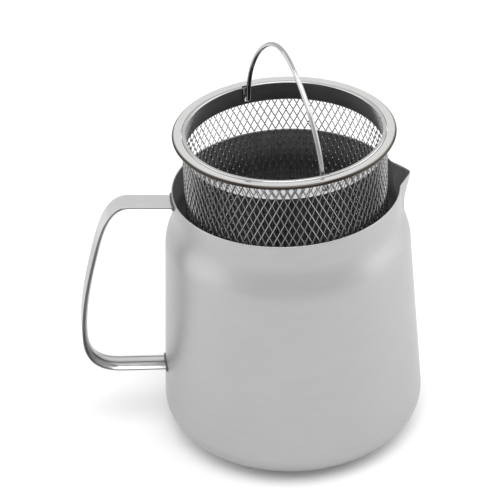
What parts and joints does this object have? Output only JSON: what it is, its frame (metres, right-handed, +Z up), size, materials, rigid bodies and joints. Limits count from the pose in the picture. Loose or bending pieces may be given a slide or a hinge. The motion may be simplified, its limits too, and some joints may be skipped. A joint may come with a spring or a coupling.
{
  "type": "deep fryer",
  "caption": "Stove-top steel frying pot with a V spout, strap handle and dark non-stick inside, and a round basket of expanded steel mesh, lifted by a swinging wire bail.",
  "frame": {"origin": "middle of the base, on the surface the pot stands on", "axes": "+Z up, spout along +X, pot handle along -X"},
  "size_m": [0.2028, 0.156, 0.2478],
  "materials": {
    "satin_steel": "satin, brushed round the body",
    "coating": "charcoal non-stick coating, low sheen",
    "aluminium_core": "as machined",
    "handle_steel": "brushed flat outside, polished crowned inside",
    "weld": "cleaned weld bead",
    "polished_steel": "polished stainless steel",
    "expanded_mesh": "expanded stainless sheet, electropolished",
    "bail_wire": "polished stainless wire"
  },
  "bodies": {
    "pot": {"pot_shell": "satin_steel", "nonstick_lining": "coating", "base_core": "aluminium_core", "base_cap": "satin_steel", "pot_handle": "handle_steel", "handle_weld_upper": "weld", "handle_weld_lower": "weld"},
    "basket": {"rim_ring": "polished_steel", "rim_band": "polished_steel", "mesh_wall": "expanded_mesh", "mesh_floor": "expanded_mesh", "floor_hoop_outer": "polished_steel", "floor_hoop_inner": "polished_steel", "ear_front": "polished_steel", "ear_back": "polished_steel"},
    "bail": {"bail": "bail_wire"}
  },
  "joints": [
    {"name": "basket_lift", "type": "slide", "parent": "pot", "child": "basket", "axis": [0, 0, 1], "range_m": [-0.034, 0.13]},
    {"name": "bail_swing", "type": "hinge", "parent": "basket", "child": "bail", "pos_m": [0, 0, 0.1882], "axis": [0.2588, -0.9659, 0], "range_deg": [-78, 78]}
  ]
}
